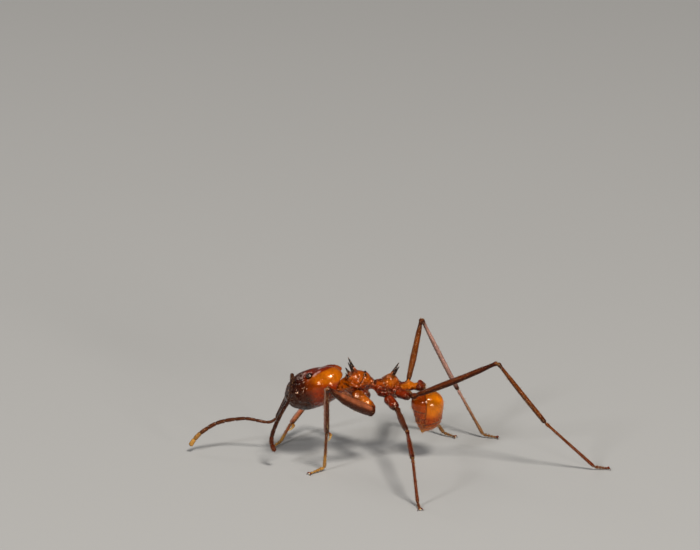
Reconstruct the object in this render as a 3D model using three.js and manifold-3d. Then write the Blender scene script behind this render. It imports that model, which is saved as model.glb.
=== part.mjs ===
// A leafcutter ant worker (Atta), life size, walking: one named mesh for each hard plate,
// limb segment, eye, mandible and feeler length. Millimetres, +Z up, the ant faces -X and
// its left side is at -Y. The six soles lie flat at z = 0, and the origin is at the middle
// of the ant's bounding box, on the ground.

import * as THREE from 'three';
import { mergeVertices } from 'three/addons/utils/BufferGeometryUtils.js';
import Module from 'manifold-3d';

const wasm = await Module();
wasm.setup();

const point = (x, y, z) => new THREE.Vector3(x, y, z);
const radians = THREE.MathUtils.degToRad;

// ---------------------------------------------------------------- driving dimensions
const HEAD_CENTRE = point(-1.6, 0, 3.42);
const HEAD_PITCH = radians(25);                    // nose down
const HEAD_ROLL = radians(14);                     // left side up
const HEAD_HALF_WIDTH = 1.22;
const LOBE_HALF_WIDTH = 0.7;                       // one of the two lobes at the back
const LOBE_PITCH = radians(-14);                   // more than the head's
const EYE_RADIUS = 0.19;
const MANDIBLE_THICKNESS = 0.26;
const MANDIBLE_TEETH = 7;
const MANDIBLE_BASE = point(-2.5, 0, 3.3);
const MANDIBLE_TIP = point(-3.16, 0, 2.06);
const TRUNK_Z = 3.63;                             // height of the trunk's axis
const GASTER_TIP = point(3.17, 0, 1.36);
const SCAPE_BOW = 0.3;                             // sideways, at its middle
const LIMB_RADIUS = 0.24;                          // thinnest leg or feeler segment
const FEMUR_RADIUS = 0.26;
const SPINE_BASE_RADIUS = 0.1;
const SPINE_TIP_RADIUS = 0.035;
const PLATE_GAP = 0.07;                            // clearance between two plates
const LIMB_SIDES = 8;
const SOLE_DROP = LIMB_RADIUS * Math.cos(Math.PI / LIMB_SIDES);   // centre line above the sole

// size of the cells that a smooth plate is faceted with
const HEAD_CELL = 0.165;
const TRUNK_CELL = 0.155;
const GASTER_CELL = 0.17;
const WAIST_CELL = 0.12;
const EYE_CELL = 0.1;

// ---------------------------------------------------------------- finishes
const AMBER = { color: '#a8480c', roughness: 0.28, metalness: 0 };
const CHESTNUT = { color: '#7a2f12', roughness: 0.32, metalness: 0 };
const GOLDEN = { color: '#9a5c22', roughness: 0.4, metalness: 0 };
const UMBER = { color: '#3a140a', roughness: 0.3, metalness: 0 };
const JET = { color: '#140c0a', roughness: 0.2, metalness: 0 };

// ---------------------------------------------------------------- distance fields
// A field gives the distance from a point to a surface, negative inside.
const UPRIGHT = [point(1, 0, 0), point(0, 1, 0), point(0, 0, 1)];

/** Axes turned about Y: the X axis dips by the angle. */
function dipped(angle) {
  return UPRIGHT.map((axis) => axis.clone().applyAxisAngle(UPRIGHT[1], angle));
}

/** An ellipsoid with its radii along three axes. */
function ball(centre, radii, axes = UPRIGHT) {
  const inverse = radii.map((radius) => 1 / radius);
  return (p) => {
    const offset = p.clone().sub(centre);
    const scaled = axes.map((axis, n) => offset.dot(axis) * inverse[n]);
    const length = Math.hypot(...scaled);
    const slope = Math.hypot(...scaled.map((value, n) => value * inverse[n]));
    return slope === 0 ? -Math.min(...radii) : length * (length - 1) / slope;
  };
}

/** A round rod from one point to another, tapering between two radii. */
function rod(from, to, fromRadius, toRadius) {
  const axis = to.clone().sub(from);
  return (p) => {
    const offset = p.clone().sub(from);
    const along = THREE.MathUtils.clamp(offset.dot(axis) / axis.lengthSq(), 0, 1);
    const radius = fromRadius + (toRadius - fromRadius) * along;
    return offset.addScaledVector(axis, -along).length() - radius;
  };
}

/** Joins fields with a fillet of the given width. */
function blend(width, ...fields) {
  return (p) => fields.map((field) => field(p)).reduce((a, b) => {
    const overlap = Math.max(width - Math.abs(a - b), 0) / width;
    return Math.min(a, b) - overlap * overlap * width / 4;
  });
}

/** Takes other fields, grown by a clearance, out of the first. */
const clear = (field, clearance, ...others) =>
  (p) => Math.max(field(p), ...others.map((other) => clearance - other(p)));

/** The same shape on both sides of the ant: side is -1 on the left and 1 on the right. */
const bothSides = (build) => [-1, 1].map(build);
const sideName = (side) => (side < 0 ? 'left' : 'right');

/** The direction in which a field grows fastest. */
function gradient(field, p) {
  const step = 0.004;
  const slope = (axis) => field(p.clone().addScaledVector(axis, step))
    - field(p.clone().addScaledVector(axis, -step));
  return point(...UPRIGHT.map(slope)).divideScalar(2 * step);
}

/** A closed geometry from flat lists of coordinates and corner numbers. */
function closedGeometry(positions, corners) {
  const geometry = new THREE.BufferGeometry();
  geometry.setAttribute('position', new THREE.Float32BufferAttribute(positions, 3));
  geometry.setIndex([...corners]);
  return geometry;
}

/**
 * The closed surface where a field is zero, inside a box given by its middle and half size:
 * one vertex in each cell that the surface crosses, and one quad round each crossed edge.
 */
function skin(field, middle, reach, cell) {
  const low = middle.clone().sub(reach);
  const size = reach.clone().multiplyScalar(2 / cell).ceil().addScalar(1);
  const index = (i, j, k) => i + size.x * (j + size.y * k);
  const corner = (i, j, k) => low.clone().addScaledVector(point(i, j, k), cell);
  const values = new Float64Array(size.x * size.y * size.z);
  for (let k = 0; k < size.z; k += 1) {
    for (let j = 0; j < size.y; j += 1) {
      for (let i = 0; i < size.x; i += 1) values[index(i, j, k)] = field(corner(i, j, k));
    }
  }
  const steps = [[1, 0, 0], [0, 1, 0], [0, 0, 1]];
  const crosses = (a, b) => (values[a] < 0) !== (values[b] < 0);
  const positions = [];
  const vertexNumbers = new Map();

  const vertexOf = (i, j, k) => {
    const key = index(i, j, k);
    if (vertexNumbers.has(key)) return vertexNumbers.get(key);
    const sum = point(0, 0, 0);
    let crossings = 0;
    steps.forEach((step, axis) => {
      const [u, v] = [steps[(axis + 1) % 3], steps[(axis + 2) % 3]];
      [[0, 0], [1, 0], [0, 1], [1, 1]].forEach(([m, n]) => {
        const start = [i, j, k].map((base, d) => base + m * u[d] + n * v[d]);
        const from = index(...start);
        const to = index(...start.map((base, d) => base + step[d]));
        if (!crosses(from, to)) return;
        const share = values[from] / (values[from] - values[to]);
        sum.add(corner(...start.map((base, d) => base + step[d] * share)));
        crossings += 1;
      });
    });
    const vertex = sum.divideScalar(crossings);
    const slope = gradient(field, vertex);
    const pull = field(vertex) / Math.max(slope.lengthSq(), 0.25);
    vertex.addScaledVector(slope, -THREE.MathUtils.clamp(pull, -cell / 3, cell / 3));
    vertexNumbers.set(key, positions.length / 3);
    positions.push(...vertex);
    return vertexNumbers.get(key);
  };

  const corners = [];
  for (let k = 1; k < size.z - 1; k += 1) {
    for (let j = 1; j < size.y - 1; j += 1) {
      for (let i = 1; i < size.x - 1; i += 1) {
        steps.forEach((step, axis) => {
          const from = index(i, j, k);
          if (!crosses(from, index(i + step[0], j + step[1], k + step[2]))) return;
          const [u, v] = [steps[(axis + 1) % 3], steps[(axis + 2) % 3]];
          const around = [[0, 0], [1, 0], [1, 1], [0, 1]].map(([m, n]) =>
            vertexOf(i - m * u[0] - n * v[0], j - m * u[1] - n * v[1], k - m * u[2] - n * v[2]));
          if (values[from] >= 0) around.reverse();
          const [p, q, r, s] = around;
          corners.push(p, q, r, p, r, s);
        });
      }
    }
  }
  return closedGeometry(positions, corners);
}

// ---------------------------------------------------------------- limbs
/** The plane that halves the bend at a joint: positive on the side before the joint. */
function mitre(before, joint, after) {
  const normal = joint.clone().sub(before).normalize().add(after.clone().sub(joint).normalize()).normalize();
  return (p) => -normal.dot(p.clone().sub(joint));
}

const opposite = (field) => (p) => -field(p);

/** Slides a point along a direction until it is clear of a field. */
function slideClear(p, direction, field, clearance) {
  for (let n = 0; n < 60; n += 1) {
    const missing = clearance - field(p);
    if (missing < 1e-4) break;
    p.addScaledVector(direction, missing);
  }
}

/**
 * A closed round limb with its centre line through points, and a radius at each. Its ends
 * are flat, or shaped by fields that they keep clear of.
 */
function limb(centres, radii, { startClear, endClear, clearance = PLATE_GAP / 2, sides = LIMB_SIDES } = {}) {
  const positions = [];
  const rings = [];
  const last = centres.length - 1;
  const axisAt = (station) => centres[Math.min(station + 1, last)].clone()
    .sub(centres[Math.max(station - 1, 0)]).normalize();
  let across = Math.abs(axisAt(0).z) < 0.95 ? point(0, 0, 1) : point(1, 0, 0);

  const addRing = (station, share) => {
    const axis = axisAt(station);
    across = across.clone().addScaledVector(axis, -across.dot(axis)).normalize();
    const other = axis.clone().cross(across);
    const ring = [];
    for (let n = 0; n < (share === 0 ? 1 : sides); n += 1) {
      const turn = (n + 0.5) / sides * Math.PI * 2;
      const p = centres[station].clone()
        .addScaledVector(across, Math.cos(turn) * radii[station] * share)
        .addScaledVector(other, Math.sin(turn) * radii[station] * share);
      if (station <= 1 && startClear) slideClear(p, axis, startClear, clearance);
      if (station >= last - 1 && endClear) slideClear(p, axis.clone().negate(), endClear, clearance);
      ring.push(positions.length / 3);
      positions.push(...p);
    }
    rings.push(ring);
  };
  [0, 0.6, 1].forEach((share) => addRing(0, share));
  for (let station = 1; station < last; station += 1) addRing(station, 1);
  [1, 0.6, 0].forEach((share) => addRing(last, share));

  const corners = [];
  rings.slice(1).forEach((far, n) => {
    const near = rings[n];
    for (let m = 0; m < sides; m += 1) {
      const next = (m + 1) % sides;
      if (near.length > 1) corners.push(near[m], near[next], far[m % far.length]);
      if (far.length > 1) corners.push(far[m], near[next % near.length], far[next]);
    }
  });
  return closedGeometry(positions, corners);
}

/** Evenly spaced points between two, one for each radius. */
const spaced = (from, to, radii) => radii.map((_, n) => from.clone().lerp(to, n / (radii.length - 1)));

/** Joins closed geometries into one. */
function union(...geometries) {
  const solids = geometries.map((geometry) => new wasm.Manifold(new wasm.Mesh({
    numProp: 3,
    vertProperties: new Float32Array(geometry.getAttribute('position').array),
    triVerts: new Uint32Array(geometry.index.array),
  })));
  const mesh = solids.reduce((whole, solid) => whole.add(solid)).getMesh();
  return closedGeometry([...mesh.vertProperties], mesh.triVerts);
}

// ---------------------------------------------------------------- the ant
const ant = new THREE.Group();

/** Adds a named mesh to the ant. */
function addPart(name, geometry, finish) {
  geometry.computeVertexNormals();
  const mesh = new THREE.Mesh(geometry, new THREE.MeshStandardMaterial(finish));
  mesh.name = name;
  ant.add(mesh);
}

// ---------------------------------------------------------------- head
/** The head's own axes: forward along the face, to its right, and up off the face. */
const headAxes = (() => {
  const forward = point(-Math.cos(HEAD_PITCH), 0, -Math.sin(HEAD_PITCH));
  const right = point(0, 1, 0).applyAxisAngle(forward, HEAD_ROLL);
  return [forward, right, right.clone().cross(forward)];
})();

/** A place on the head, from its centre. */
const onHead = (forward, side, up) => HEAD_CENTRE.clone()
  .addScaledVector(headAxes[0], forward)
  .addScaledVector(headAxes[1], side)
  .addScaledVector(headAxes[2], up);

const lobeAxes = headAxes.map((axis) => axis.clone().applyAxisAngle(headAxes[1], LOBE_PITCH));
const lobes = bothSides((side) => ball(
  onHead(-0.55, side * (HEAD_HALF_WIDTH - LOBE_HALF_WIDTH), -0.08),
  [0.98, LOBE_HALF_WIDTH, 0.74], lobeAxes));
const face = ball(onHead(0.36, 0, -0.04), [0.97, 0.94, 0.83], headAxes);
const crown = ball(onHead(0, 0, 0.3), [1.0, 0.72, 0.54], headAxes);
const cheeks = ball(onHead(-0.26, 0, -0.5), [0.86, 0.86, 0.44], headAxes);
const clypeus = ball(onHead(1.06, 0, 0.0), [0.3, 0.54, 0.28], headAxes);
const nape = ball(point(0.37, 0, 3.4), [1.0, 3, 0.95]);     // hollow that the neck comes out of
const headField = clear(blend(0.2, ...lobes, face, crown, cheeks, clypeus), 0, nape);

const eyeCentre = (side) => onHead(-0.12, side * 0.69, 0.56);
const eyes = bothSides((side) => ball(eyeCentre(side), [EYE_RADIUS, EYE_RADIUS, EYE_RADIUS]));
addPart('head', skin(clear(headField, 0.06, ...eyes), HEAD_CENTRE, point(1.7, 1.5, 1.5), HEAD_CELL), AMBER);
bothSides((side) => addPart(`eye_${sideName(side)}`,
  skin(eyes[side < 0 ? 0 : 1], eyeCentre(side), point(0.35, 0.35, 0.35), EYE_CELL), JET));

/** A flat triangular mandible with a toothed inner edge, from the front of the head down. */
function mandible(side) {
  const down = MANDIBLE_TIP.clone().sub(MANDIBLE_BASE);
  const length = down.length();
  down.normalize();
  const outline = new THREE.Shape();
  outline.moveTo(0, 0.3);
  outline.lineTo(0, 0.56);
  outline.quadraticCurveTo(length * 0.6, 0.8, length, 0.1);
  for (let tooth = 1; tooth <= MANDIBLE_TEETH; tooth += 1) {
    const share = tooth / MANDIBLE_TEETH;
    const along = length * (1 - 0.5 * share);
    outline.lineTo(along + length * 0.02, 0.16 + 0.1 * share);
    outline.lineTo(along, 0.11 + 0.1 * share);
  }
  const plate = mergeVertices(new THREE.ExtrudeGeometry(outline,
    { depth: MANDIBLE_THICKNESS, bevelEnabled: false, curveSegments: 6 }).deleteAttribute('normal').deleteAttribute('uv'));
  const lateral = point(0, 1, 0);
  const normal = down.clone().cross(lateral);
  const place = new THREE.Matrix4().makeBasis(down, lateral, normal)
    .setPosition(MANDIBLE_BASE.clone().addScaledVector(normal, -MANDIBLE_THICKNESS / 2));
  plate.applyMatrix4(place);
  const corners = plate.getAttribute('position');
  for (let n = 0; n < corners.count; n += 1) {
    const p = point(0, 0, 0).fromBufferAttribute(corners, n);
    slideClear(p, down, headField, PLATE_GAP);
    corners.setXYZ(n, p.x, p.y * side, p.z);
  }
  return side < 0 ? closedGeometry(corners.array, [...plate.index.array].reverse()) : plate;
}
bothSides((side) => addPart(`mandible_${sideName(side)}`, mandible(side), UMBER));

// ---------------------------------------------------------------- feelers
/** A feeler: the first length is the scape, and the others are the whip. */
function addFeeler(side, socket, bends, tip) {
  const joints = [socket, ...bends, tip];
  const cut = (n) => mitre(joints[n - 1], joints[n], joints[n + 1]);
  joints.slice(1).forEach((joint, n) => {
    const radii = [1, 1, 1].map((share) => LIMB_RADIUS * share);
    const centres = spaced(joints[n], joint, radii);
    if (n === 0) centres[1].y += side * SCAPE_BOW;
    const name = n === 0 ? 'scape' : `whip_${n}`;
    addPart(`${name}_${sideName(side)}`, limb(centres, radii, {
      startClear: n === 0 ? headField : opposite(cut(n)),
      endClear: n === joints.length - 2 ? undefined : cut(n + 1),
    }), UMBER);
  });
}
const socket = (side) => onHead(0.66, side * 0.3, 0.5);
addFeeler(-1, socket(-1),
  [point(-2.5, -2.25, 4.72), point(-2.65, -1.6, 3.35), point(-3.36, -1.17, 1.7)], point(-3.3, -1.05, 0.8));
addFeeler(1, socket(1),
  [point(-3.26, 1.1, 1.62), point(-4.5, 1.25, 1.58), point(-6.0, 1.25, 1.3)], point(-7.1, 1.12, 0.32));

// ---------------------------------------------------------------- trunk
const neck = rod(point(-0.42, 0, TRUNK_Z - 0.22), point(0.06, 0, TRUNK_Z + 0.11), 0.26, 0.34);
const pronotum = ball(point(0.26, 0, TRUNK_Z + 0.1), [0.54, 0.56, 0.48], dipped(-0.45));
const mesonotum = ball(point(0.6, 0, TRUNK_Z + 0.12), [0.42, 0.42, 0.38], dipped(0.2));
const propleuron = ball(point(0.32, 0, TRUNK_Z - 0.27), [0.54, 0.42, 0.4], dipped(0.25));
const isthmus = rod(point(0.85, 0, TRUNK_Z - 0.04), point(1.4, 0, TRUNK_Z - 0.12), 0.25, 0.3);
const mesopleuron = ball(point(1.5, 0, TRUNK_Z - 0.3), [0.44, 0.46, 0.4]);
const propodeum = ball(point(1.76, 0, TRUNK_Z - 0.02), [0.44, 0.4, 0.44], dipped(0.25));
const metapleuron = ball(point(2.02, 0, TRUNK_Z - 0.32), [0.34, 0.4, 0.28]);
const trunkField = clear(
  blend(0.16, neck, pronotum, mesonotum, propleuron, isthmus, mesopleuron, propodeum, metapleuron),
  PLATE_GAP, headField);

/** Four pairs of spines: foot and tip on the right-hand side. */
const SPINES = [
  [point(0.22, 0.26, 4.05), point(-0.08, 0.38, 4.68)],
  [point(-0.02, 0.34, 3.9), point(-0.2, 0.4, 4.2)],
  [point(0.64, 0.2, 3.96), point(0.69, 0.24, 4.18)],
  [point(1.8, 0.2, 3.88), point(2.15, 0.29, 4.47)],
];
const spines = bothSides((side) => SPINES.map((ends) => {
  const [foot, tip] = ends.map((end) => point(end.x, end.y * side, end.z));
  const radii = [SPINE_BASE_RADIUS, (SPINE_BASE_RADIUS + SPINE_TIP_RADIUS) / 2, SPINE_TIP_RADIUS];
  return limb(spaced(foot, tip, radii), radii, { sides: 5 });
})).flat();
addPart('mesosoma', union(
  skin(trunkField, point(0.95, 0, TRUNK_Z), point(1.7, 0.85, 0.85), TRUNK_CELL), ...spines), AMBER);

// ---------------------------------------------------------------- waist and gaster
const postpetioleField = ball(point(3.08, 0, 3.46), [0.3, 0.42, 0.28]);
addPart('postpetiole', skin(postpetioleField, point(3.08, 0, 3.46), point(0.5, 0.6, 0.5), WAIST_CELL), CHESTNUT);
addPart('petiole', limb(
  [point(2.2, 0, 3.36), point(2.42, 0, 3.4), point(2.62, 0, 3.5), point(2.86, 0, 3.46)], [0.2, 0.2, 0.28, 0.2],
  { startClear: trunkField, endClear: postpetioleField, clearance: PLATE_GAP }), CHESTNUT);

const gasterField = clear(blend(0.36,
  ball(point(3.39, 0, 2.68), [0.74, 0.68, 0.62]),
  ball(point(3.44, 0, 2.06), [0.61, 0.56, 0.62]),
  rod(point(3.31, 0, 1.75), GASTER_TIP, 0.28, 0.1)), PLATE_GAP, postpetioleField);
addPart('gaster', skin(gasterField, point(3.4, 0, 2.35), point(0.95, 0.95, 1.25), GASTER_CELL), AMBER);

// ---------------------------------------------------------------- legs
// Joints from the hip to the toe, on the walking ant.
const LEGS = {
  fore_left: {
    joints: [point(0.12, -0.42, 3.36), point(1.04, -0.94, 2.58), point(-1.01, -2.6, 4.21),
      point(-1.02, -1.78, 1.9), point(-1.12, -1.34, 0), point(-1.84, -1.98, 0)],
    coxaRadius: 0.35,
    femurSag: 0.11,
  },
  fore_right: {
    joints: [point(0.12, 0.42, 3.36), point(0.8, 1.0, 2.57), point(-1.42, 3.2, 2.36),
      point(-2.66, 2.98, 0.74), point(-3.1, 2.24, 0), point(-3.44, 1.76, 0)],
    coxaRadius: 0.35,
    femurSag: 0.11,
  },
  mid_left: {
    joints: [point(1.56, -0.36, 3.1), point(2.06, -0.94, 2.72), point(2.46, -4.1, 2.7),
      point(2.66, -5.75, 2.05), point(2.88, -6.0, 0), point(2.98, -6.55, 0)],
    coxaRadius: 0.27,
    femurSag: 0.05,
  },
  mid_right: {
    joints: [point(1.56, 0.36, 3.1), point(1.98, 0.94, 2.72), point(2.17, 3.7, 2.5),
      point(3.6, 3.75, 1.0), point(4.22, 3.45, 0), point(4.75, 3.12, 0)],
    coxaRadius: 0.27,
    femurSag: 0.05,
  },
  hind_left: {
    joints: [point(2.02, -0.32, 3.26), point(2.64, -0.88, 3.24), point(6.38, -2.0, 5.16),
      point(8.51, -1.6, 2.29), point(10.7, -1.25, 0), point(11.38, -1.2, 0)],
    coxaRadius: 0.25,
    femurSag: 0.05,
  },
  hind_right: {
    joints: [point(2.02, 0.32, 3.26), point(2.52, 0.86, 3.22), point(3.18, 3.0, 5.66),
      point(4.84, 3.3, 2.23), point(5.98, 3.2, 0), point(6.67, 3.05, 0)],
    coxaRadius: 0.25,
    femurSag: 0.05,
  },
};

/** Five segments from the hip to the toe, each mitred to the next, with a flat sole. */
function addLeg(name, { joints, coxaRadius, femurSag }) {
  joints.slice(-2).forEach((joint) => {
    joint.z = SOLE_DROP;
  });
  const cut = (n) => mitre(joints[n - 1], joints[n], joints[n + 1]);
  const segments = {
    coxa: [0.8, 1, 0.95, 0.75].map((share) => coxaRadius * share),
    femur: [0.92, 1, 1.05, 1, 0.92].map((share) => FEMUR_RADIUS * share),
    tibia: [1, 1, 1.02, 1].map((share) => LIMB_RADIUS * share),
    tarsus: [LIMB_RADIUS, LIMB_RADIUS, LIMB_RADIUS],
    foot: [LIMB_RADIUS, LIMB_RADIUS],
  };
  Object.entries(segments).forEach(([segment, radii], n) => {
    const centres = spaced(joints[n], joints[n + 1], radii);
    if (segment === 'femur') {
      centres.forEach((centre, m) => {
        centre.z -= femurSag * Math.sin(Math.PI * m / (centres.length - 1));
      });
    }
    addPart(`${segment}_${name}`, limb(centres, radii, {
      startClear: n === 0 ? trunkField : opposite(cut(n)),
      endClear: n === 4 ? undefined : cut(n + 1),
    }), n < 2 ? CHESTNUT : GOLDEN);
  });
}
Object.entries(LEGS).forEach(([name, leg]) => addLeg(name, leg));

// ---------------------------------------------------------------- origin
const bounds = new THREE.Box3().setFromObject(ant);
const middle = bounds.getCenter(point(0, 0, 0));
ant.position.set(-middle.x, -middle.y, -bounds.min.z);

export default ant;
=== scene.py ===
# The looks of a leafcutter ant worker, life size: glossy amber plates, dark jaws, feelers and
# spines, six slender legs and fine pale bristles, on a plain pale floor.
# Places are in millimetres in the ant's own axes, as its solids have them: x towards the
# tail, y to the ant's right, z up from the ground. publish() turns them into metres.
import math

import bpy
import numpy as np
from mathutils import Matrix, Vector, noise


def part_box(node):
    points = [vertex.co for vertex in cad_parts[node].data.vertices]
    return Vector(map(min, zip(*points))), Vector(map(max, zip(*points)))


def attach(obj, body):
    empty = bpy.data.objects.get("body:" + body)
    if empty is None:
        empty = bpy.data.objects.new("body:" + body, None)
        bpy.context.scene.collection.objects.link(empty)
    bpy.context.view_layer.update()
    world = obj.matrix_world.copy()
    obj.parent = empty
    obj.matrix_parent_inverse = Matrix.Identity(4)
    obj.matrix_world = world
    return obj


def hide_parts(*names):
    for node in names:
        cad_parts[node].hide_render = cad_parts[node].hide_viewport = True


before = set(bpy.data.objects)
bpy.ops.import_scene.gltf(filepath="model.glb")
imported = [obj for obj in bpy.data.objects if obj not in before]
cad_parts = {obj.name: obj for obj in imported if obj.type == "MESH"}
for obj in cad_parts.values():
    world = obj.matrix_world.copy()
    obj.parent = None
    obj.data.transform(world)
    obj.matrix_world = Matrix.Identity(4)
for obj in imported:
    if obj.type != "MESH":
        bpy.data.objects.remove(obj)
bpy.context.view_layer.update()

MM = 0.001


# ---------------------------------------------------------------- small helpers
def vec(*xyz):
    return np.array(xyz, float)


def places(*rows):
    return np.array(rows, float)


def unit(v):
    return v / np.maximum(np.linalg.norm(v, axis=-1, keepdims=True), 1e-12)


def turned(v, axis, angle):
    """A direction turned about another, by the right-hand rule."""
    return (v * math.cos(angle) + np.cross(axis, v) * math.sin(angle)
            + axis * (v @ axis) * (1 - math.cos(angle)))


def eased(x, low, high):
    """0 below low, 1 above high, smooth between."""
    share = np.clip((x - low) / (high - low), 0, 1)
    return share * share * (3 - 2 * share)


def hump(x, width):
    """1 at zero, falling smoothly to about nothing at the width."""
    return np.exp(-(2 * x / width) ** 2)


def linear(code):
    """A colour code as linear red, green and blue."""
    srgb = np.array([int(code[n:n + 2], 16) for n in (1, 3, 5)]) / 255
    return np.where(srgb <= 0.04045, srgb / 12.92, ((srgb + 0.055) / 1.055) ** 2.4)


def mixed(first, second, share):
    """One colour turning into another; share is a number, or has one for each vertex."""
    share = np.asarray(share, float)[..., None]
    return first * (1 - share) + second * share


def painted(tint, *layers):
    """A tint with other colours laid over it in turn, each given as (colour, share)."""
    for colour, share in layers:
        tint = mixed(tint, colour, share)
    return tint


# ---------------------------------------------------------------- driving places and sizes
UP = vec(0, 0, 1)
RIGHT = vec(0, 1, 0)
UPRIGHT = np.eye(3)
HEAD_CENTRE = vec(-1.6, 0, 3.42)
HEAD_PITCH = math.radians(25)          # nose down
HEAD_ROLL = math.radians(14)           # left side up
HEAD_HALF_WIDTH = 1.22
LOBE_HALF_WIDTH = 0.7
LOBE_PITCH = math.radians(-14)
EYE_RADIUS = 0.15
TRUNK_Z = 3.63
GASTER_TIP = vec(3.17, 0, 1.36)
INSET = 0.025                          # how far a plate's own skin lies inside its solid

# cells that the plates are meshed with
HEAD_CELL = 0.03
EYE_CELL = 0.018
TRUNK_CELL = 0.024
WAIST_CELL = 0.02
GASTER_CELL = 0.026

# pigments, and a pink painted sheen
GOLD = linear("#d67202")
HONEY = linear("#b05602")
AMBER = linear("#953801")
RUST = linear("#7a2001")
SIENNA = linear("#6e3a16")
RUSSET = linear("#662e06")
BRICK = linear("#5a1a04")
CHESTNUT = linear("#57230c")
GARNET = linear("#5a0f02")
MAROON = linear("#2c0602")
UMBER = linear("#1f0804")
PITCH = linear("#0e0504")
TAN = linear("#7d5228")
STRAW = linear("#b3823c")
CLAY = linear("#9c5535")
PINK_SHEEN = linear("#a67c70")
BONE = linear("#d6bc86")

head_forward = vec(-math.cos(HEAD_PITCH), 0, -math.sin(HEAD_PITCH))
head_right = turned(RIGHT, head_forward, HEAD_ROLL)
HEAD_AXES = np.array([head_forward, head_right, np.cross(head_right, head_forward)])


def on_head(forward, side, up):
    """A place on the head, from its centre: along the face, to its right, off the face."""
    return HEAD_CENTRE + vec(forward, side, up) @ HEAD_AXES


def head_places(p):
    """Points as distances forward, to the right and up on the head."""
    return ((p - HEAD_CENTRE) @ HEAD_AXES.T).T


def eye_centre(side):
    return on_head(-0.12, side * 0.69, 0.56)


# The solids' two eyes say where the ant's own axes lie in the frame.
eye_boxes = [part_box(f"eye_{side}") for side in ("left", "right")]
eyes_in_frame = np.mean([np.array(corner) for box in eye_boxes for corner in box], axis=0) / MM
AXES_SHIFT = eyes_in_frame - (eye_centre(-1) + eye_centre(1)) / 2
AXES_SHIFT[2] = 0


# ---------------------------------------------------------------- fields
# A field gives the distance from points to a surface, negative inside.
def dipped(angle):
    return np.array([turned(axis, RIGHT, angle) for axis in UPRIGHT])


def ball(centre, radii, axes=UPRIGHT):
    inverse = 1 / np.array(radii)

    def field(p):
        scaled = ((p - centre) @ axes.T) * inverse
        length = np.linalg.norm(scaled, axis=1)
        slope = np.linalg.norm(scaled * inverse, axis=1)
        return np.where(slope < 1e-9, -min(radii), length * (length - 1) / np.maximum(slope, 1e-9))
    return field


def rod(start, end, start_radius, end_radius):
    axis = end - start

    def field(p):
        offset = p - start
        along = np.clip(offset @ axis / (axis @ axis), 0, 1)
        radius = start_radius + (end_radius - start_radius) * along
        return np.linalg.norm(offset - along[:, None] * axis, axis=1) - radius
    return field


def blend(width, *fields):
    """Joins fields with a fillet."""
    def field(p):
        result = fields[0](p)
        for other in fields[1:]:
            value = other(p)
            overlap = np.maximum(width - np.abs(result - value), 0) / width
            result = np.minimum(result, value) - overlap ** 2 * width / 4
        return result
    return field


def carve(field, width, *holes):
    """Takes holes out of a field, with rounded edges."""
    def cut(p):
        result = field(p)
        for hole in holes:
            value = -hole(p)
            overlap = np.maximum(width - np.abs(result - value), 0) / width
            result = np.maximum(result, value) + overlap ** 2 * width / 4
        return result
    return cut


def grown(field, amount):
    return lambda p: field(p) - amount


def gradient(field, p):
    step = 0.003
    slopes = [field(p + axis * step) - field(p - axis * step) for axis in UPRIGHT]
    return np.stack(slopes, axis=1) / (2 * step)


# ---------------------------------------------------------------- meshes
class Shape:
    """
    A closed mesh: places, triangles, and for each place its unwrapped place, its tint, and
    how rugged its surface is, from 0 to 1.
    """
    def __init__(self, verts, faces, chart):
        self.verts = verts
        self.faces = faces
        self.chart = chart
        self.tint = np.ones((len(verts), 3))
        self.rugged = np.full(len(verts), 0.5)

    def normals(self):
        a, b, c = (self.verts[self.faces[:, n]] for n in range(3))
        face_normals = np.cross(b - a, c - a)
        total = np.zeros_like(self.verts)
        for n in range(3):
            np.add.at(total, self.faces[:, n], face_normals)
        return unit(total)


def join(*shapes):
    counts = np.cumsum([0] + [len(shape.verts) for shape in shapes])
    whole = Shape(np.concatenate([shape.verts for shape in shapes]),
                  np.concatenate([shape.faces + counts[n] for n, shape in enumerate(shapes)]),
                  np.concatenate([shape.chart for shape in shapes]))
    whole.tint = np.concatenate([shape.tint for shape in shapes])
    whole.rugged = np.concatenate([shape.rugged for shape in shapes])
    return whole


def round_chart(verts, centre):
    """Unwraps points round a centre by their bearing and height."""
    out = unit(verts - centre)
    bearing = np.arctan2(out[:, 1], out[:, 0]) / (2 * math.pi) + 0.5
    return np.stack([bearing, np.arccos(np.clip(out[:, 2], -1, 1)) / math.pi], axis=1)


SQUARE = ((0, 0), (1, 0), (1, 1), (0, 1))
BARELY = 1e-5                          # how far off the surface a flipped corner is, in mm
PASSES = 10


def settled(values):
    """
    Flips the weakest corner of each grid square whose corners alternate between inside and
    outside, because the surface would meet itself there, with four triangles on one edge.
    A flip can make another square alternate, so it looks again, a limited number of times.
    """
    for _ in range(PASSES):
        alternating = False
        for u, v in ((0, 1), (1, 2), (2, 0)):
            layers = np.moveaxis(values, (u, v), (0, 1))
            rows, columns = layers.shape[0] - 1, layers.shape[1] - 1
            a, b, c, d = (layers[m:rows + m, n:columns + n] < 0 for m, n in SQUARE)
            for i, j, k in np.argwhere((a == c) & (b == d) & (a != b)):
                corners = [(i + m, j + n, k) for m, n in SQUARE]
                weakest = min(corners, key=lambda corner: abs(layers[corner]))
                layers[weakest] = -math.copysign(BARELY, layers[weakest])
                alternating = True
        if not alternating:
            break
    return values


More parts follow.
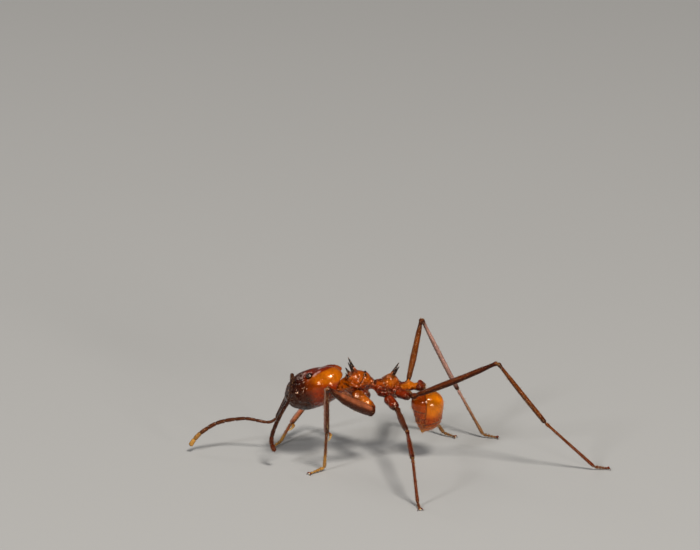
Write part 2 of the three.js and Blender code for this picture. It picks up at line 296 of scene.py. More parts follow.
def plate(field, middle, reach, cell, relief=None):
    """
    The closed surface where a field is zero, inside a box: one place in each cell that it
    crosses, pulled onto the surface, and two triangles round each crossed edge. relief gives
    how far each place then moves out.
    """
    low = middle - reach
    size = np.ceil(2 * reach / cell).astype(int) + 1
    grid = np.stack(np.meshgrid(*[np.arange(n, dtype=float) for n in size], indexing="ij"), -1)
    values = settled(field(low + grid.reshape(-1, 3) * cell).reshape(size))
    cells = size - 1
    total = np.zeros((*cells, 3))
    count = np.zeros(cells)
    crossed_edges = []
    for axis in range(3):
        u, v = (axis + 1) % 3, (axis + 2) % 3
        near = [slice(None)] * 3
        far = [slice(None)] * 3
        near[axis], far[axis] = slice(0, -1), slice(1, None)
        start, end = values[tuple(near)], values[tuple(far)]
        crossed = (start < 0) != (end < 0)
        share = np.where(crossed, start / np.where(crossed, start - end, 1), 0)
        place = grid[tuple(near)].copy()
        place[..., axis] += share
        for m in (0, 1):
            for n in (0, 1):
                window = [slice(None)] * 3
                window[u] = slice(m, m + cells[u])
                window[v] = slice(n, n + cells[v])
                total += np.where(crossed[tuple(window)][..., None], place[tuple(window)], 0)
                count += crossed[tuple(window)]
        crossed_edges.append((u, v, crossed, start < 0))
    used = count > 0
    number = np.full(tuple(cells), -1)
    number[used] = np.arange(used.sum())
    verts = low + total[used] / count[used][:, None] * cell
    for _ in range(2):
        slope = gradient(field, verts)
        pull = field(verts) / np.maximum((slope ** 2).sum(1), 0.25)
        verts = verts - slope * np.clip(pull, -cell / 2, cell / 2)[:, None]
    triangles = []
    for u, v, crossed, inside in crossed_edges:
        starts = np.argwhere(crossed)
        outward = inside[crossed]
        around = []
        for m, n in SQUARE:
            corner = starts.copy()
            corner[:, u] -= m
            corner[:, v] -= n
            around.append(number[tuple(corner.T)])
        p, q, r, s = around
        triangles.append(np.where(outward[:, None], np.stack([p, q, r], 1), np.stack([p, r, q], 1)))
        triangles.append(np.where(outward[:, None], np.stack([p, r, s], 1), np.stack([p, s, r], 1)))
    shape = Shape(verts, np.concatenate(triangles), round_chart(verts, middle))
    if relief is not None:
        shape.verts = verts + unit(gradient(field, verts)) * relief(verts)[:, None]
    return shape


def smooth_path(points, samples=24):
    """A smooth curve through points, as close samples."""
    points = np.array(points, float)
    padded = np.concatenate([[2 * points[0] - points[1]], points, [2 * points[-1] - points[-2]]])
    pieces = []
    for n in range(1, len(points)):
        before, start, end, after = padded[n - 1:n + 3]
        t = np.linspace(0, 1, samples, endpoint=False)[:, None]
        pieces.append(0.5 * (2 * start + (end - before) * t
                             + (2 * before - 5 * start + 4 * end - after) * t ** 2
                             + (3 * start - before - 3 * end + after) * t ** 3))
    return np.concatenate([*pieces, points[-1:]])


def measured(path):
    """How far along a path each of its places lies."""
    return np.concatenate([[0], np.cumsum(np.linalg.norm(np.diff(path, axis=0), axis=1))])


def met(path, distances):
    """The places that lie these distances along a path."""
    return np.stack([np.interp(distances, measured(path), path[:, d]) for d in range(3)], 1)


def swelling(*stations, scale=1.0):
    """A radius along a limb from (share, radius) stations, eased between them, times a scale."""
    shares, radii = np.array(stations, float).T
    radii = radii * scale

    def radius(t):
        n = np.clip(np.searchsorted(shares, t, side="right") - 1, 0, len(shares) - 2)
        step = np.clip((t - shares[n]) / (shares[n + 1] - shares[n]), 0, 1)
        return radii[n] + (radii[n + 1] - radii[n]) * step * step * (3 - 2 * step)
    return radius


def tube(points, radius, sides=16, step=0.035, flat=1.0, bulge=None):
    """
    A closed limb along a smooth path with rounded ends. radius gives its radius at each share
    of the length, flat how thick it is upwards, and bulge(share, turns) more relief.
    """
    dense = smooth_path(points)
    whole = measured(dense)[-1]
    count = max(int(whole / step), 6)
    caps = (1 - np.cos(np.linspace(0, math.pi / 2, 5)))[:-1]
    first = caps * radius(np.array([0.0]))[0] / whole
    last = 1 - caps[::-1] * radius(np.array([1.0]))[0] / whole
    shares = np.concatenate([first, np.linspace(first[-1], last[0], count + 2)[1:-1], last])
    centres = met(dense, shares * whole)
    tangents = unit(np.gradient(centres, axis=0))
    radii = radius(shares)
    for end, distance in ((radii[0], shares * whole), (radii[-1], (1 - shares) * whole)):
        radii = radii * np.sqrt(1 - np.clip(1 - distance / end, 0, 1) ** 2)
    turns = np.arange(sides) / sides
    rings = [centres[0][None]]
    chart = [np.array([[0.0, 0.5]])]
    for centre, tangent, ring_radius, share in list(zip(centres, tangents, radii, shares))[1:-1]:
        flat_way = unit(UP - tangent * (UP @ tangent))
        wide_way = np.cross(flat_way, tangent)
        out = (np.cos(turns * 2 * math.pi)[:, None] * wide_way
               + np.sin(turns * 2 * math.pi)[:, None] * flat_way * flat)
        extra = 0 if bulge is None else bulge(share, turns)[:, None] * out
        rings.append(centre + out * ring_radius + extra)
        chart.append(np.stack([np.full(sides, share), turns], 1))
    rings.append(centres[-1][None])
    chart.append(np.array([[1.0, 0.5]]))
    triangles = []
    this = np.arange(sides)
    following = (this + 1) % sides
    triangles.append(np.stack([np.zeros(sides, int), 1 + following, 1 + this], 1))
    for ring in range(len(rings) - 3):
        near, far = 1 + ring * sides, 1 + (ring + 1) * sides
        triangles.append(np.stack([near + this, near + following, far + following], 1))
        triangles.append(np.stack([near + this, far + following, far + this], 1))
    end = 1 + (len(rings) - 3) * sides
    tip = end + sides
    triangles.append(np.stack([end + this, end + following, np.full(sides, tip)], 1))
    return Shape(np.concatenate(rings), np.concatenate(triangles), np.concatenate(chart))


def along(shape, *stations):
    """Tints a tube by (share, colour) stations."""
    shares = [share for share, _ in stations]
    colours = np.array([colour for _, colour in stations])
    shape.tint = np.stack([np.interp(shape.chart[:, 0], shares, colours[:, n]) for n in range(3)], 1)
    return shape


def paint_light_facing(shape, way, colour, amount, low=-0.3, high=0.6):
    """Paints light or shade: tints the side of a shape that faces a way."""
    shape.tint = mixed(shape.tint, colour, amount * eased(shape.normals() @ way, low, high))
    return shape


def knobs(p, scale):
    """Smooth seeded unevenness between about -1 and 1; scale is how many lie along a mm."""
    return np.array([noise.noise(Vector(q * scale)) for q in p]) * 1.6


# ---------------------------------------------------------------- materials
WARM_GLOSS = (1.0, 0.5, 0.24, 1)
FACET_SLANT = 20                       # how steeply a pit slants, against its depth


def new_material(name):
    """A node material, its node tree and its shader."""
    material = bpy.data.materials.new(name)
    material.use_nodes = True
    return material, material.node_tree, material.node_tree.nodes["Principled BSDF"]


def plug(tree, node, inputs):
    """Sets a node's inputs, and links those that are given another node's output."""
    for socket, value in inputs.items():
        if isinstance(value, bpy.types.NodeSocket):
            tree.links.new(value, node.inputs[socket])
        else:
            node.inputs[socket].default_value = value


def add(tree, kind, inputs, operation=None):
    """Adds a node and gives its outputs."""
    node = tree.nodes.new("ShaderNode" + kind)
    if operation is not None:
        node.operation = operation
    plug(tree, node, inputs)
    return node.outputs


def mesh_tint(tree):
    """The tint that publish() gives each mesh, with how rugged it is as alpha."""
    node = tree.nodes.new("ShaderNodeAttribute")
    node.attribute_name = "tint"
    return node.outputs


def cuticle(name, roughness, shine, gloss, pits, depth, glow):
    """
    Insect plate: the mesh's own tint, mottled, and darker in fine pits as painted shade, with
    a warm shine and a thin clear gloss over it. pits is how many lie along a millimetre and
    depth how deep they are, in mm, where the mesh is most rugged.
    """
    material, tree, shader = new_material(name)
    in_metres = tree.nodes.new("ShaderNodeTexCoord").outputs["Object"]
    in_mm = add(tree, "VectorMath", {0: in_metres, "Scale": 1 / MM}, "SCALE")["Vector"]

    def clouds(scale, detail):
        return add(tree, "TexNoise", {"Scale": scale, "Detail": detail, "Vector": in_mm})["Fac"]

    def spread(value, low, high, out_low, out_high):
        return add(tree, "MapRange", {"Value": value, "From Min": low, "From Max": high,
                                      "To Min": out_low, "To Max": out_high})["Result"]

    def times(colour, factor):
        return add(tree, "VectorMath", {0: colour, "Scale": factor}, "SCALE")["Vector"]

    def minus(first, second):
        return add(tree, "VectorMath", {0: first, 1: second}, "SUBTRACT")["Vector"]

    def times_plus(value, factor, base):
        return add(tree, "Math", {0: value, 1: factor, 2: base}, "MULTIPLY_ADD")["Value"]

    cells = add(tree, "TexVoronoi", {"Scale": pits, "Vector": in_mm})
    tint = mesh_tint(tree)
    mottled = times(tint["Color"], spread(clouds(3.5, 4), 0.3, 0.7, 0.58, 0.96))
    # Each pit slants its own way, so that some of them catch the light.
    slope = add(tree, "VectorMath", {0: minus(in_mm, cells["Position"]),
                                     1: minus(cells["Color"], (0.5, 0.5, 0.5))}, "DOT_PRODUCT")["Value"]
    height = times_plus(slope, FACET_SLANT, times_plus(clouds(pits / 2, 3), 1.2, cells["Distance"]))
    normal = add(tree, "Bump", {"Strength": tint["Alpha"], "Distance": depth * MM,
                                "Height": height})["Normal"]
    plug(tree, shader, {
        # Painted shade: the colour darkens towards each pit's middle.
        "Base Color": times(mottled, spread(cells["Distance"], 0.0, 0.5, 0.8, 1.05)),
        "Roughness": spread(clouds(9, 3), 0.3, 0.7, roughness - 0.05, roughness + 0.07),
        "Coat Weight": gloss,
        "Coat Roughness": 0.1,
        "Specular IOR Level": shine,
        "Specular Tint": WARM_GLOSS,
        "Subsurface Weight": glow,
        "Subsurface Radius": (1.0, 0.25, 0.05),
        "Subsurface Scale": 0.15 * MM,
        "Normal": normal,
        "Coat Normal": normal,
    })
    return material


def hair_material():
    """Bristles: the mesh's own tint with a soft shine."""
    material, tree, shader = new_material("pale_hair")
    plug(tree, shader, {"Roughness": 0.35, "Base Color": mesh_tint(tree)["Color"]})
    return material


# roughness, shine, gloss, pits to a millimetre, their depth in mm, and glow from within
CUTICLES = {
    "amber_plate": (0.15, 0.45, 0.3, 8, 0.032, 0.08),
    "chestnut_plate": (0.34, 0.3, 0.06, 12, 0.022, 0.05),
    "golden_limb": (0.26, 0.35, 0.1, 14, 0.016, 0.05),
    "umber_horn": (0.24, 0.35, 0.16, 14, 0.014, 0.0),
    "eye_black": (0.2, 0.5, 1.0, 34, 0.004, 0.0),
}
MATERIALS = {name: cuticle(name, *numbers) for name, numbers in CUTICLES.items()}
MATERIALS["pale_hair"] = hair_material()


def placed(name, data):
    """A new object in the scene."""
    item = bpy.data.objects.new(name, data)
    bpy.context.scene.collection.objects.link(item)
    return item


def publish(name, shape, slot, *nodes, unwrapped=False):
    """Makes the object of a shape, in metres in the frame, and hides the solids that it stands for."""
    mesh = bpy.data.meshes.new(name)
    mesh.from_pydata(((shape.verts + AXES_SHIFT) * MM).tolist(), [], shape.faces.tolist())
    mesh.shade_smooth()
    mesh.materials.append(MATERIALS[slot])
    tint = mesh.color_attributes.new("tint", "FLOAT_COLOR", "POINT")
    rgba = np.concatenate([shape.tint, shape.rugged[:, None]], axis=1)
    tint.data.foreach_set("color", rgba.astype(np.float32).ravel())
    if unwrapped:
        layer = mesh.uv_layers.new(name="OFBake")
        layer.data.foreach_set("uv", shape.chart[shape.faces.ravel()].astype(np.float32).ravel())
    piece = placed(name, mesh)
    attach(piece, "root")
    if nodes:
        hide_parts(*nodes)


def both_sides(build):
    for side in (-1, 1):
        build(side)


def side_name(side):
    return "left" if side < 0 else "right"


coats = {}                             # the shapes that carry bristles, by node


def publish_coated(name, shape, slot, node):
    publish(name, shape, slot, node)
    coats[node] = shape


# ---------------------------------------------------------------- head
LOBE_AXES = np.array([turned(axis, HEAD_AXES[1], LOBE_PITCH) for axis in HEAD_AXES])
lobes = [ball(on_head(-0.55, side * (HEAD_HALF_WIDTH - LOBE_HALF_WIDTH), -0.08),
              (0.98, LOBE_HALF_WIDTH, 0.74), LOBE_AXES) for side in (-1, 1)]
face = ball(on_head(0.36, 0, -0.04), (0.97, 0.94, 0.83), HEAD_AXES)
crown = ball(on_head(0, 0, 0.3), (1.0, 0.72, 0.54), HEAD_AXES)
cheeks = ball(on_head(-0.26, 0, -0.5), (0.86, 0.86, 0.44), HEAD_AXES)
clypeus = ball(on_head(1.06, 0, 0.0), (0.3, 0.54, 0.28), HEAD_AXES)
nape = ball(vec(0.37, 0, 3.4), (1.0, 3, 0.95))
head_solid = carve(blend(0.2, *lobes, face, crown, cheeks, clypeus), 0.1, nape)


def build_head():
    skull = grown(head_solid, -INSET)
    ridges = []
    holes = [ball(on_head(0.98, 0, -0.62), (0.3, 0.26, 0.14), HEAD_AXES)]
    for side in (-1, 1):
        ridges.append(rod(on_head(0.98, side * 0.17, 0.46), on_head(0.62, side * 0.22, 0.62), 0.05, 0.075))
        ridges.append(rod(on_head(0.62, side * 0.22, 0.62), on_head(0.22, side * 0.5, 0.62), 0.075, 0.03))
        ridges.append(rod(on_head(0.55, side * 0.72, 0.2), on_head(-0.1, side * 0.84, 0.3), 0.04, 0.06))
        holes.append(ball(on_head(0.7, side * 0.37, 0.68), (0.17, 0.1, 0.14), HEAD_AXES))
        holes.append(ball(eye_centre(side), [EYE_RADIUS + 0.012] * 3))
    field = carve(blend(0.06, skull, *ridges), 0.04, *holes)

    def roughness(forward, up):
        return np.maximum(eased(forward, 0.0, 0.5), eased(-up, 0.1, 0.5))

    def relief(p):
        forward, side, up = head_places(p)
        furrow = -0.05 * hump(side, 0.16) * eased(-forward, -0.3, 0.7) * eased(up, 0, 0.3)
        gula = -0.03 * hump(side, 0.12) * eased(-up, 0.1, 0.4)
        seam = -0.03 * hump(forward - 0.86 + 0.35 * side ** 2, 0.08) * eased(up, -0.2, 0.1)
        striae = 0.006 * np.sin(side * 60) * eased(forward, 0.3, 0.8) * eased(up, 0, 0.3)
        net = 0.018 * knobs(p, 6) * roughness(forward, up) - 0.006
        return furrow + gula + seam + striae + net

    shape = plate(field, HEAD_CENTRE, vec(1.7, 1.5, 1.5), HEAD_CELL, relief)
    forward, side, up = head_places(shape.verts)
    # A painted highlight: a bright band runs from each rear corner to the eye, between these heights.
    painted_highlight_band = eased(0.5 - up, -0.02, 0.06) * eased(up - 0.27 - 0.45 * forward, -0.12, 0.12)
    painted_highlight_band = painted_highlight_band * eased(np.abs(side), 0.3, 0.5) * eased(-forward, -0.1, 0.4)
    # The crown above the band and the side below it are painted shade; the underside and the front are darker
    # partly as the head's own colour and partly as painted shade.
    tint = painted(
        AMBER,
        (RUST, eased(up, 0.4, 0.5) + eased(-up, -0.1, 0.35) * eased(up, -0.5, -0.2)),
        (HONEY, painted_highlight_band),
        (GOLD, 0.15 * painted_highlight_band * eased(-forward, 0.5, 1.2)),
        (RUST, 0.8 * eased(-up, 0.05, 0.3)),
        (GARNET, 0.7 * eased(-up, 0.3, 0.7)),
        (MAROON, 0.92 * eased(forward + 0.1 * up, -0.1, 0.35)),
        (PITCH, 0.6 * eased(forward, 0.2, 0.7)),
        (CHESTNUT, 0.6 * hump(side, 0.5) * eased(up, 0, 0.4)),
    )
    shape.tint = tint
    shape.rugged = 0.14 + 0.56 * np.maximum(eased(forward, -0.2, 0.4), 0.15 * eased(-up, 0.0, 0.4))
    publish_coated("head_plate", shape, "amber_plate", "head")


build_head()


def build_eye(side):
    """A low-domed compound eye."""
    centre = on_head(-0.12, side * 0.68, 0.55)
    shape = plate(ball(centre, [EYE_RADIUS, EYE_RADIUS * 0.9, EYE_RADIUS * 0.86], HEAD_AXES), centre,
                  vec(0.24, 0.24, 0.24), EYE_CELL)
    shape.tint[:] = PITCH
    publish(f"compound_eye_{side_name(side)}", shape, "eye_black", f"eye_{side_name(side)}")


both_sides(build_eye)

MANDIBLE_BASE = vec(-2.5, 0, 3.3)
MANDIBLE_TIP = vec(-3.16, 0, 2.06)
MANDIBLE_TEETH = 7


def build_mandible(side):
    """A curved three-sided blade with a toothed inner edge and fine grooves."""
    down = MANDIBLE_TIP - MANDIBLE_BASE
    length = np.linalg.norm(down)
    down = down / length
    outward = vec(0, side, 0)
    normal = np.cross(down, RIGHT)
    rows, columns = 90, 15
    share = np.linspace(0, 1, rows)
    reach = 0.36 + 0.64 * share                     # along the blade, from inside the head
    outer = 0.56 + 0.12 * np.sin(reach * math.pi) - 0.5 * reach ** 2.6
    tooth = np.abs((share * MANDIBLE_TEETH) % 1 - 0.5) * 2
    inner = np.where(reach < 0.5, 0.28 - 0.02 * reach, 0.3 - 0.24 * reach)
    inner = inner - 0.055 * (1 - tooth) * (reach > 0.5)
    inner = np.minimum(np.maximum(inner, 0.03), outer - 0.02)
    verts = []
    across = np.linspace(-1, 1, columns)
    for face_way in (1, -1):
        for r in range(rows):
            place = inner[r] + (outer[r] - inner[r]) * (across + 1) / 2
            thick = 0.085 * np.sqrt(np.clip(1 - across ** 2, 0, 1)) * (1 - 0.55 * reach[r])
            thick = thick * (1 + 0.06 * np.cos(across * 30))
            curl = -0.06 * (2 * reach[r] - 1) ** 2
            verts.append(MANDIBLE_BASE + down * length * reach[r] + outward * place[:, None]
                         + normal * (face_way * thick + curl)[:, None])
    verts = np.concatenate(verts)
    index = np.arange(rows * columns).reshape(rows, columns)
    back = index + rows * columns
    back[:, 0], back[:, -1] = index[:, 0], index[:, -1]      # the two faces share their edges
    triangles = []
    for grid, flip in ((index, False), (back, True)):
        a, b, c, d = grid[:-1, :-1], grid[:-1, 1:], grid[1:, 1:], grid[1:, :-1]
        quads = np.stack([a, b, c, d], -1).reshape(-1, 4)
        if flip:
            quads = quads[:, ::-1]
        triangles += [quads[:, [0, 1, 2]], quads[:, [0, 2, 3]]]
    for row, flip in ((0, True), (rows - 1, False)):
        top, low = index[row], back[row]
        a, b, c, d = top[:-1], top[1:], low[1:], low[:-1]
        quads = np.stack([a, b, c, d], -1)
        if flip:
            quads = quads[:, ::-1]
        triangles += [quads[:, [0, 1, 2]], quads[:, [0, 2, 3]]]
    faces = np.concatenate(triangles)
    keep = (faces[:, 0] != faces[:, 1]) & (faces[:, 1] != faces[:, 2]) & (faces[:, 0] != faces[:, 2])
    faces = faces[keep]
    if side > 0:
        faces = faces[:, ::-1]
    used, inverse = np.unique(faces, return_inverse=True)
    shape = Shape(verts[used], inverse.reshape(faces.shape), np.zeros((len(used), 2)))
    reached = np.clip(((shape.verts - MANDIBLE_BASE) @ down) / length, 0, 1)
    shape.tint = mixed(MAROON, PITCH, eased(reached, 0.4, 1.0))
    publish(f"mandible_blade_{side_name(side)}", shape, "umber_horn",
            f"mandible_{side_name(side)}")


both_sides(build_mandible)


# ---------------------------------------------------------------- feelers
SCAPE_BOW = 0.24                       # how far a scape bows outwards
BEADS = 10
BEAD_LAP = 0.006                       # how far neighbouring beads overlap, in shares of the whip
NEAR_WHIP = places((-2.5, -2.25, 4.72), (-2.58, -1.95, 4.0), (-2.65, -1.6, 3.35), (-2.98, -1.4, 2.69),
                   (-3.24, -1.25, 2.09), (-3.4, -1.15, 1.59), (-3.43, -1.1, 1.21), (-3.3, -1.05, 0.8))
FAR_WHIP = places((-3.26, 1.1, 1.62), (-3.63, 1.15, 1.42), (-4.5, 1.25, 1.55), (-5.0, 1.3, 1.52),
                  (-5.5, 1.3, 1.45), (-6.04, 1.25, 1.28), (-6.6, 1.2, 0.92), (-6.9, 1.15, 0.62),
                  (-7.1, 1.12, 0.32))


def cut_path(points, start, end):
    """Six places on the part of a smooth path between two shares of its length."""
    dense = smooth_path(points)
    return met(dense, np.linspace(start, end, 6) * measured(dense)[-1])


def build_feeler(side, whip, splits, near_colour, far_colour):
    """A long scape from its socket to the elbow, then a whip of ten beads on three nodes."""
    name = side_name(side)
    socket = on_head(0.7, side * 0.34, 0.6)
    elbow = whip[0]
    middle = (socket + elbow) / 2 + vec(0, side * SCAPE_BOW, 0)
    scape = tube([socket, middle, elbow],
                 swelling((0, 0.075), (0.035, 0.045), (0.12, 0.055), (0.6, 0.062), (0.95, 0.085), (1, 0.07)))
    along(scape, (0, MAROON), (0.5, near_colour), (1, near_colour))
    publish_coated(f"scape_rod_{name}", scape, "umber_horn", f"scape_{name}")
    widths = np.linspace(0.064, 0.1, BEADS)
    ends = np.concatenate([[0.0], np.cumsum(np.linspace(1.2, 0.9, BEADS))])
    ends = ends / ends[-1]
    group = [[], [], []]
    for n in range(BEADS):
        start, end = ends[n], ends[n + 1]
        bead = tube(cut_path(whip, start - BEAD_LAP, end + BEAD_LAP),
                    swelling((0, 0.7), (0.2, 1), (0.85, 1.04), (1, 0.85), scale=widths[n]), sides=14)
        share = (start + end) / 2
        tint = near_colour * (1 - eased(share, 0.75, 1.0)) + far_colour * eased(share, 0.75, 1.0)
        along(bead, (0, tint * 0.45), (0.16, tint), (0.85, tint), (1, tint * 0.5))
        group[np.searchsorted(splits, share)].append(bead)
    for n, shapes in enumerate(group):
        whole = join(*shapes)
        publish_coated(f"whip_beads_{n + 1}_{name}", whole, "umber_horn", f"whip_{n + 1}_{name}")


# The near feeler is given darker colours than the far one, as painted shade.
build_feeler(-1, NEAR_WHIP, (0.36, 0.82), MAROON * 0.8, BRICK * 0.8)
build_feeler(1, FAR_WHIP, (0.31, 0.68), CHESTNUT * 0.6, STRAW)


# ---------------------------------------------------------------- trunk
trunk_fields = [
    rod(vec(-0.42, 0, TRUNK_Z - 0.22), vec(0.06, 0, TRUNK_Z + 0.11), 0.26, 0.34),
    ball(vec(0.26, 0, TRUNK_Z + 0.1), (0.54, 0.56, 0.48), dipped(-0.45)),
    ball(vec(0.6, 0, TRUNK_Z + 0.12), (0.42, 0.42, 0.38), dipped(0.2)),
    ball(vec(0.32, 0, TRUNK_Z - 0.27), (0.54, 0.42, 0.4), dipped(0.25)),
    rod(vec(0.85, 0, TRUNK_Z - 0.04), vec(1.4, 0, TRUNK_Z - 0.12), 0.25, 0.3),
    ball(vec(1.5, 0, TRUNK_Z - 0.3), (0.44, 0.46, 0.4)),
    ball(vec(1.76, 0, TRUNK_Z - 0.02), (0.44, 0.4, 0.44), dipped(0.25)),
    ball(vec(2.02, 0, TRUNK_Z - 0.32), (0.34, 0.4, 0.28)),
]
# Each spine's foot and tip on the right-hand side, and how thick its foot is.
SPINES = [
    (vec(0.22, 0.26, 4.05), vec(-0.08, 0.38, 4.66), 0.1),
    (vec(-0.02, 0.34, 3.9), vec(-0.19, 0.4, 4.18), 0.07),
    (vec(0.65, 0.2, 4.0), vec(0.68, 0.24, 4.14), 0.04),
    (vec(1.8, 0.2, 3.88), vec(2.14, 0.29, 4.45), 0.1),
]
# Low ridges of the back and flanks, on the right-hand side: places along each.
RIDGES = [
    places((-0.06, 0.34, 3.9), (0.22, 0.3, 4.06), (0.64, 0.22, 3.99), (0.86, 0.16, 3.78)),
    places((-0.28, 0.26, 3.5), (0.16, 0.46, 3.62), (0.56, 0.42, 3.5)),
    places((0.98, 0.2, 3.72), (1.36, 0.22, 3.8), (1.8, 0.2, 3.96)),
    places((1.8, 0.2, 3.96), (2.06, 0.2, 3.78), (2.18, 0.22, 3.48)),
    places((1.12, 0.32, 3.42), (1.5, 0.42, 3.46), (1.86, 0.36, 3.56)),
    places((1.2, 0.3, 3.14), (1.58, 0.4, 3.08), (1.96, 0.36, 3.2)),
]
trunk_solid = blend(0.16, *trunk_fields)


def mirrored(place, side):
    return place * vec(1, side, 1)


def build_trunk():
    body = grown(trunk_solid, -0.035)
    ridges = []
    spines = []
    holes = []
    for side in (-1, 1):
        for foot, tip, thickness in SPINES:
            spines.append(rod(mirrored(foot, side), mirrored(tip, side), thickness, 0.02))
        for line in RIDGES:
            for start, end in zip(line, line[1:]):
                ridges.append(rod(mirrored(start, side), mirrored(end, side), 0.045, 0.045))
        ridges.append(ball(mirrored(vec(2.04, 0.3, 3.3), side), (0.2, 0.12, 0.13)))
        holes.append(ball(mirrored(vec(1.84, 0.4, 3.62), side), (0.04, 0.06, 0.04)))
        holes.append(rod(mirrored(vec(0.96, 0.34, 3.56), side), mirrored(vec(1.16, 0.4, 3.16), side),
                         0.07, 0.05))
        holes.append(ball(mirrored(vec(0.78, 0.44, 3.66), side), (0.14, 0.08, 0.07), dipped(0.4)))
    rough = blend(0.09, body, *ridges)
    within = grown(trunk_solid, -0.006)

    def bounded(p):
        return np.maximum(rough(p), within(p))

    field = carve(blend(0.07, bounded, *spines), 0.03, grown(head_solid, -0.04), *holes)

    def seams(p):
        """How far the grooves between the trunk's plates lie in."""
        x, y, z = p.T
        flank = eased(np.abs(y), 0.15, 0.3)
        depth = -0.035 * hump(x - 0.56 - 0.5 * (z - 3.9), 0.08) * eased(z, 3.55, 3.75)
        depth += -0.05 * hump(x - 1.1, 0.14) * eased(z, 3.5, 3.7)
        depth += -0.035 * hump(z - 3.5 + 0.34 * (x - 0.2), 0.09) * flank * eased(-x, -0.75, -0.5)
        depth += -0.03 * hump(z - 3.36 + 0.1 * (x - 1.6), 0.08) * flank * eased(x, 1.15, 1.3)
        depth += -0.03 * hump(x - 1.5 + 0.3 * (z - 3.3), 0.07) * flank * eased(-z, -3.5, -3.3)
        depth += -0.025 * hump(x - 1.34 - 0.2 * (z - 3.7), 0.06) * eased(z, 3.6, 3.75)
        return depth

    def bumps(p):
        x, y, z = p.T
        rugae = 0.006 * np.sin(34 * z + 12 * x) * eased(np.abs(y), 0.15, 0.3) * eased(-z, -3.75, -3.45)
        below_spines = eased(-z, -4.15, -3.98)
        return (rugae + 0.04 * np.abs(knobs(p, 3.6)) + 0.006 * knobs(p, 9) - 0.02) * below_spines

    def relief(p):
        return seams(p) + bumps(p)

    shape = plate(field, vec(0.95, 0, TRUNK_Z), vec(1.7, 0.85, 1.15), TRUNK_CELL, relief)
    x, y, z = shape.verts.T
    # The top is painted lighter and the lower flanks darker, as painted light and shade; the hollows between
    # the knobs get painted shade, their crests a little painted highlight, and the seams are dark joints.
    tint = painted(
        RUST,
        (AMBER, eased(z, 3.4, 3.75)),
        (HONEY, 0.5 * hump(x - 0.7, 0.8) * eased(z, 3.5, 3.8)),
        (HONEY, 0.9 * hump(x - 1.75, 0.7) * eased(z, 3.5, 3.8)),
        (mixed(AMBER, HONEY, 0.5), 0.9 * eased(-x, -0.2, 0.1) * eased(z, 3.2, 3.4)),
        (GARNET, 0.6 * eased(-z, -3.45, -3.1)),
        (MAROON, 0.6 * eased(-z, -3.15, -2.9)),
        (GARNET, 0.7 * hump(x - 1.5 - 0.5 * (z - 3.4), 0.4) * eased(-z, -3.7, -3.5)),
        (MAROON, 0.65 * eased(x, 0.1, 0.4) * eased(-bumps(shape.verts), 0.006, 0.022)),
        (MAROON, 0.7 * eased(-seams(shape.verts), 0.006, 0.03)),
        (GOLD, 0.2 * eased(bumps(shape.verts), 0.0, 0.02) * eased(z, 3.5, 3.75)),
    )
    for side in (-1, 1):
        for foot, tip, thickness in SPINES:
            start, end = mirrored(foot, side), mirrored(tip, side)
            share = (shape.verts - start) @ (end - start) / ((end - start) @ (end - start))
            away = np.linalg.norm(shape.verts - start - np.clip(share, 0, 1)[:, None] * (end - start), axis=1)
            tint = mixed(tint, PITCH, eased(share, 0.1, 0.4) * (1 - eased(away, thickness, 0.14)))
    shape.tint = tint
    shape.rugged[:] = 1
    publish_coated("mesosoma_plate", shape, "amber_plate", "mesosoma")


build_trunk()


# ---------------------------------------------------------------- waist
def build_petiole():
    """A short stalk with a blunt node and small teeth on top."""
    parts = [rod(vec(2.16, 0, 3.38), vec(2.45, 0, 3.42), 0.16, 0.17),
             ball(vec(2.6, 0, 3.5), (0.19, 0.24, 0.22)),
             rod(vec(2.6, 0, 3.47), vec(2.94, 0, 3.46), 0.18, 0.17)]
    for side in (-1, 1):
        parts.append(rod(vec(2.58, side * 0.12, 3.6), vec(2.56, side * 0.17, 3.74), 0.06, 0.02))
        parts.append(rod(vec(2.3, side * 0.1, 3.5), vec(2.52, side * 0.14, 3.64), 0.035, 0.045))
        parts.append(rod(vec(2.6, side * 0.2, 3.44), vec(2.78, side * 0.14, 3.5), 0.045, 0.04))
    field = carve(blend(0.05, *parts), 0.02, grown(trunk_solid, -0.05))

    def relief(p):
        return 0.02 * knobs(p, 7) - 0.01

    shape = plate(field, vec(2.56, 0, 3.5), vec(0.64, 0.42, 0.45), WAIST_CELL, relief)
    # Painted light: lighter towards the top.
    shape.tint = mixed(mixed(RUST, HONEY, eased(shape.verts[:, 2], 3.3, 3.5)), GOLD,
                       0.6 * eased(shape.verts[:, 2], 3.5, 3.7))
    shape.rugged[:] = 1
    publish_coated("petiole_node", shape, "chestnut_plate", "petiole")


RING_CENTRE = vec(3.08, 0, 3.46)
ring_solid = ball(RING_CENTRE, (0.3, 0.42, 0.28))


def build_postpetiole():
    """A broad ring with an angular ridge and a shallow groove along its top."""
    ridges = [rod(vec(3.06, -0.2, 3.66), vec(3.06, 0.2, 3.66), 0.07, 0.07)]
    for side in (-1, 1):
        ridges.append(rod(vec(3.06, side * 0.2, 3.66), vec(3.3, side * 0.24, 3.46), 0.07, 0.05))
        ridges.append(rod(vec(3.06, side * 0.2, 3.66), vec(2.88, side * 0.3, 3.4), 0.06, 0.06))
    rough = blend(0.03, grown(ring_solid, -0.065), *ridges)
    within = grown(ring_solid, -0.008)

    def relief(p):
        groove = -0.03 * hump(p[:, 1], 0.16) * eased(p[:, 2], 3.5, 3.6)
        return groove + 0.02 * knobs(p, 6) - 0.01

    shape = plate(lambda p: np.maximum(rough(p), within(p)), RING_CENTRE, vec(0.5, 0.6, 0.5),
                  WAIST_CELL, relief)
    # Painted shade: darker towards the bottom.
    shape.tint = mixed(MAROON, RUST, eased(shape.verts[:, 2], 3.35, 3.75))
    shape.rugged[:] = 1
    publish_coated("postpetiole_ring", shape, "chestnut_plate", "postpetiole")


build_petiole()
build_postpetiole()


